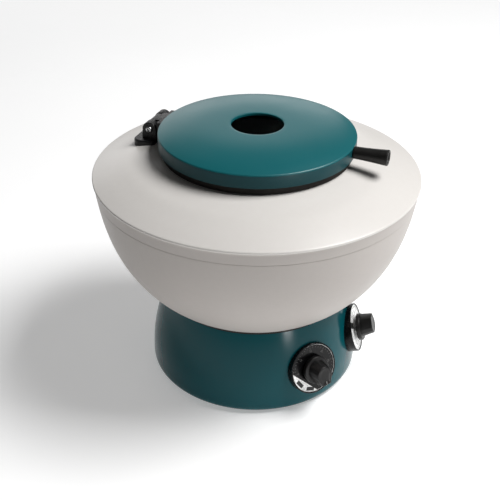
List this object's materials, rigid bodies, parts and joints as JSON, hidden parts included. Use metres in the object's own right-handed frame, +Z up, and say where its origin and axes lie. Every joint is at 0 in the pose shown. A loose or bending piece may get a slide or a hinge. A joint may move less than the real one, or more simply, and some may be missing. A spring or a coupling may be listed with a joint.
{
  "type": "benchtop centrifuge",
  "caption": "Round-bodied benchtop laboratory centrifuge with a hinged domed lid, a swing-out head in a bowl-shaped chamber, and dial controls on a flared base.",
  "frame": {"origin": "on the table, under the centre of the round body", "axes": "+Z up; -Y towards the lid handle and the dials, +Y towards the lid hinge and the mains inlet; +X to the right seen from the handle side"},
  "size_m": [0.32, 0.32, 0.2684],
  "materials": {
    "teal_paint": "satin paint on cast alloy",
    "lid_paint": "satin paint on spun alloy",
    "white_body": "satin paint on spun alloy",
    "white_cover": "satin paint on spun alloy",
    "black_rubber": "matte",
    "black_plastic": "matte",
    "knob_plastic": "satin",
    "cup_plastic": "gloss",
    "hinge_black": "textured matte",
    "zinc_steel": "bright zinc",
    "ground_steel": "ground",
    "dial_metal": "bright, printed",
    "plate_steel": "matte",
    "liner_steel": "drawn",
    "motor_paint": "satin",
    "cast_alloy": "cast",
    "rotor_alloy": "turned",
    "shield_alloy": "spun",
    "lamination": "stacked, varnished",
    "copper_winding": "enamelled copper wire",
    "commutator_copper": "turned copper",
    "brass": "turned",
    "carbon": "matte",
    "board": "satin",
    "fan_plastic": "satin"
  },
  "bodies": {
    "housing": {"base_housing": "teal_paint", "bottom_plate": "plate_steel", "rubber_feet": "black_rubber", "foot_screws": "zinc_steel", "bowl": "white_body", "floor_bolts": "zinc_steel", "top_cover": "white_cover", "rim_seal": "black_rubber", "guard_bowl": "liner_steel", "shaft_gland": "black_rubber", "motor_plate": "plate_steel", "motor_dampers": "black_rubber", "motor_screws": "zinc_steel", "motor_can": "motor_paint", "motor_top_bell": "cast_alloy", "motor_bottom_bell": "cast_alloy", "field_laminations": "lamination", "field_coils": "copper_winding", "brush_holders": "brass", "carbon_brushes": "carbon", "motor_bearings": "ground_steel", "hinge_base_leaf": "hinge_black", "hinge_pin": "zinc_steel", "hinge_base_screws": "zinc_steel", "speed_dial_cup": "cup_plastic", "speed_dial_plate": "dial_metal", "speed_regulator": "black_plastic", "timer_dial_cup": "cup_plastic", "timer_dial_plate": "dial_metal", "timer_movement": "black_plastic", "dial_nuts": "zinc_steel", "mains_inlet": "black_plastic", "inlet_blades": "zinc_steel", "fuse_holder": "black_plastic", "control_board": "board", "heat_sink": "cast_alloy"},
    "lid": {"lid": "lid_paint", "lid_handle": "black_plastic", "handle_stud": "zinc_steel", "hinge_lid_leaf": "hinge_black", "hinge_lid_screws": "zinc_steel"},
    "rotor": {"motor_shaft": "ground_steel", "armature_core": "lamination", "armature_windings": "copper_winding", "commutator": "commutator_copper", "cooling_fan": "fan_plastic", "rotor_yoke": "rotor_alloy", "rotor_nut": "zinc_steel"},
    "speed_knob": {"speed_knob": "knob_plastic", "speed_spindle": "brass"},
    "timer_knob": {"timer_knob": "knob_plastic", "timer_spindle": "brass"},
    "bucket_1": {"trunnion_ring_1": "zinc_steel", "tube_shield_1": "shield_alloy"},
    "bucket_2": {"trunnion_ring_2": "zinc_steel", "tube_shield_2": "shield_alloy"},
    "bucket_3": {"trunnion_ring_3": "zinc_steel", "tube_shield_3": "shield_alloy"},
    "bucket_4": {"trunnion_ring_4": "zinc_steel", "tube_shield_4": "shield_alloy"}
  },
  "joints": [
    {"name": "lid_hinge", "type": "hinge", "parent": "housing", "child": "lid", "pos_m": [0, 0.1065, 0.252], "axis": [-1, 0, 0], "range_deg": [0, 100]},
    {"name": "rotor_spin", "type": "hinge", "parent": "housing", "child": "rotor", "pos_m": [0, 0, 0.08], "axis": [0, 0, 1], "continuous": true},
    {"name": "bucket_1_swing", "type": "hinge", "parent": "rotor", "child": "bucket_1", "pos_m": [0.052, 0, 0.2], "axis": [0, -1, 0], "range_deg": [0, 90]},
    {"name": "bucket_2_swing", "type": "hinge", "parent": "rotor", "child": "bucket_2", "pos_m": [0, 0.052, 0.2], "axis": [1, 0, 0], "range_deg": [0, 90]},
    {"name": "bucket_3_swing", "type": "hinge", "parent": "rotor", "child": "bucket_3", "pos_m": [-0.052, 0, 0.2], "axis": [0, 1, 0], "range_deg": [0, 90]},
    {"name": "bucket_4_swing", "type": "hinge", "parent": "rotor", "child": "bucket_4", "pos_m": [0, -0.052, 0.2], "axis": [-1, 0, 0], "range_deg": [0, 90]},
    {"name": "speed_knob_turn", "type": "hinge", "parent": "housing", "child": "speed_knob", "pos_m": [0.01347, -0.10968, 0.049], "axis": [-0.117, 0.9527, -0.2807], "range_deg": [0, 300]},
    {"name": "timer_knob_turn", "type": "hinge", "parent": "housing", "child": "timer_knob", "pos_m": [-0.06553, -0.0876, 0.0464], "axis": [0.5749, 0.7685, -0.2807], "range_deg": [0, 300]}
  ]
}
